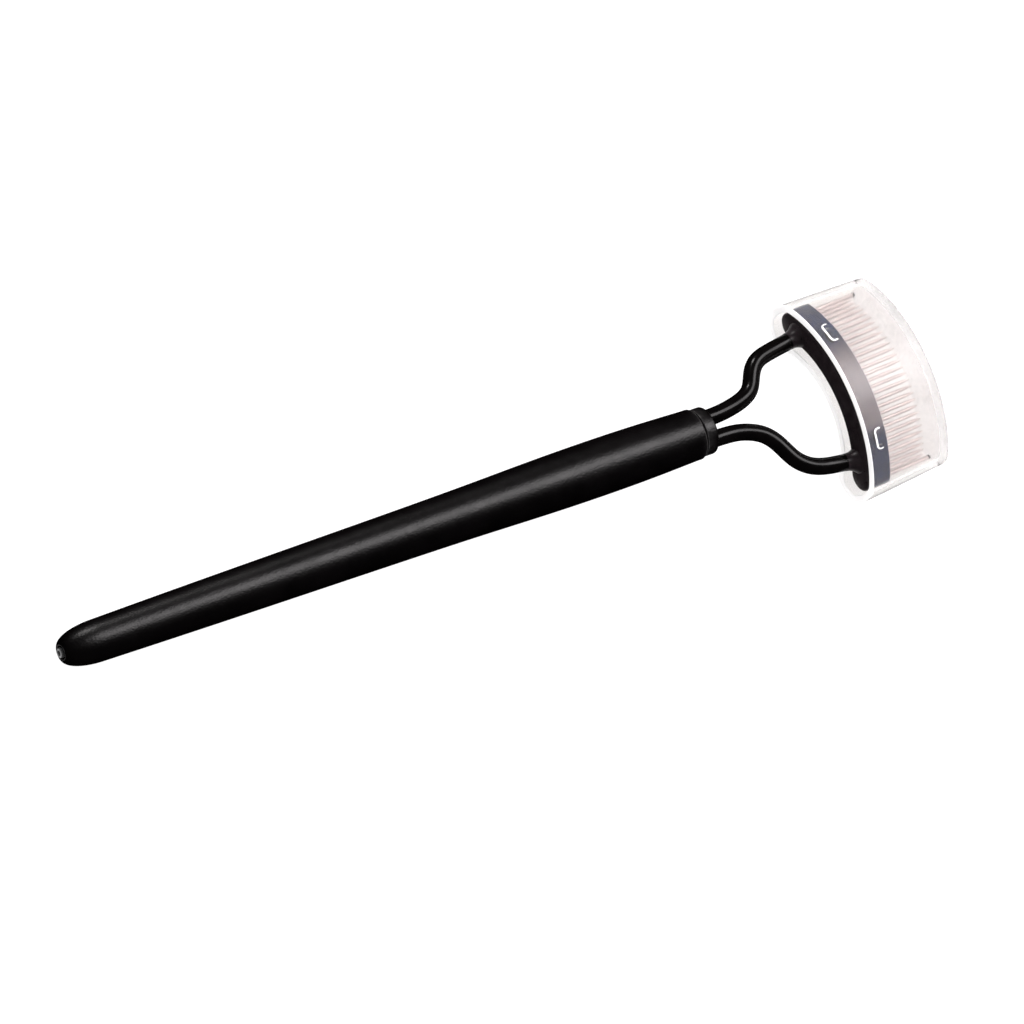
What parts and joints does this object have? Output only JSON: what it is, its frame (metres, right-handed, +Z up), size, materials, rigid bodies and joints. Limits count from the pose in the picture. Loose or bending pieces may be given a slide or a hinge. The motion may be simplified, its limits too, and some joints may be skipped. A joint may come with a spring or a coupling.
{
  "type": "lash comb",
  "caption": "Arc-shaped eyelash comb: slim tapered handle, two-wire fork, curved bar of fine needle teeth, and a translucent push-on cover that slides off forwards.",
  "frame": {"origin": "on the table plane under the middle of the whole covered tool, lying on the two lower ends of its cover and on its tail", "axes": "+X from the tail to the head along the handle (which rises by 1.55 degrees), +Y to the left of it, +Z up, the convex side of the comb arc"},
  "size_m": [0.1387, 0.029, 0.0125],
  "materials": {
    "handle_satin": "satin black coating on a turned tube",
    "wire_gloss": "gloss black coated steel wire",
    "bar_gloss": "gloss black moulded plastic",
    "plug": "grey plug with a dark dimple",
    "needle": "fine drawn stainless needles",
    "cover_frosted": "milky translucent plastic, softly frosted"
  },
  "bodies": {
    "comb": {"handle_barrel": "handle_satin", "tail_plug": "plug", "collar": "handle_satin", "fork_arm_left": "wire_gloss", "fork_arm_right": "wire_gloss", "comb_bar": "bar_gloss", "tooth_01": "needle", "tooth_02": "needle", "tooth_03": "needle", "tooth_04": "needle", "tooth_05": "needle", "tooth_06": "needle", "tooth_07": "needle", "tooth_08": "needle", "tooth_09": "needle", "tooth_10": "needle", "tooth_11": "needle", "tooth_12": "needle", "tooth_13": "needle", "tooth_14": "needle", "tooth_15": "needle", "tooth_16": "needle", "tooth_17": "needle", "tooth_18": "needle", "tooth_19": "needle", "tooth_20": "needle", "tooth_21": "needle", "tooth_22": "needle", "tooth_23": "needle", "tooth_24": "needle", "tooth_25": "needle", "tooth_26": "needle", "tooth_27": "needle", "tooth_28": "needle", "tooth_29": "needle"},
    "cover": {"cover": "cover_frosted"}
  },
  "joints": [
    {"name": "cover_slide", "type": "slide", "parent": "comb", "child": "cover", "axis": [0.9983, 0.0523, 0.027], "range_m": [0, 0.02]}
  ]
}
